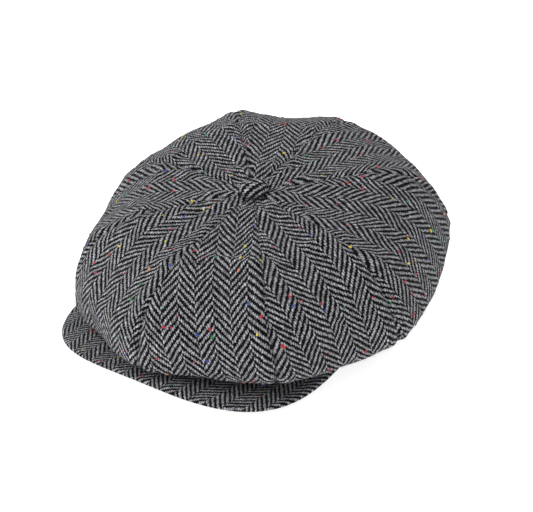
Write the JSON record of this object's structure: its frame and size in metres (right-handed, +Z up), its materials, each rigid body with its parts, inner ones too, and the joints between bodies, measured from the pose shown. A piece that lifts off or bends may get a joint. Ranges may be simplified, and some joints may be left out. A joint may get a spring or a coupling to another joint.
{
  "type": "newsboy cap",
  "caption": "Soft newsboy cap: full gored crown with a covered button on top, band and sweatband round the head opening, gored lining and a short stiffened peak.",
  "frame": {"origin": "centre of the head opening, on the plane of the band's lower edge", "axes": "+Z up out of the crown's top, -Y forward over the peak, +X to the left hand of a wearer, which is the right of someone facing the cap"},
  "size_m": [0.2744, 0.2818, 0.1079],
  "materials": {
    "crown_cloth": "herringbone wool tweed, charcoal and pale grey with small coloured flecks, brushed and matt",
    "button_cloth": "the same herringbone tweed pulled over a domed button",
    "button_metal": "plain stamped steel",
    "lining_satin": "black twill-back satin lining, soft sheen",
    "band_cloth": "herringbone wool tweed",
    "stiffener_buckram": "stiff open-weave buckram",
    "sweatband_twill": "black cotton twill tape",
    "peak_cloth": "herringbone wool tweed, columns running front to back",
    "board": "pressed polyethylene peak board",
    "label_ribbon": "plain woven ribbon, blank"
  },
  "bodies": {
    "root": {"crown_panel_1": "crown_cloth", "crown_panel_2": "crown_cloth", "crown_panel_3": "crown_cloth", "crown_panel_4": "crown_cloth", "crown_panel_5": "crown_cloth", "crown_panel_6": "crown_cloth", "crown_panel_7": "crown_cloth", "crown_panel_8": "crown_cloth", "button_cover": "button_cloth", "button_shell": "button_metal", "button_back": "button_metal", "lining_panel_1": "lining_satin", "lining_panel_2": "lining_satin", "lining_panel_3": "lining_satin", "lining_panel_4": "lining_satin", "lining_panel_5": "lining_satin", "lining_panel_6": "lining_satin", "lining_panel_7": "lining_satin", "lining_panel_8": "lining_satin", "outer_band": "band_cloth", "band_stiffener": "stiffener_buckram", "sweatband": "sweatband_twill", "peak_top_cover": "peak_cloth", "peak_under_cover": "peak_cloth", "peak_board": "board", "maker_label": "label_ribbon", "size_tab": "label_ribbon"}
  },
  "joints": []
}
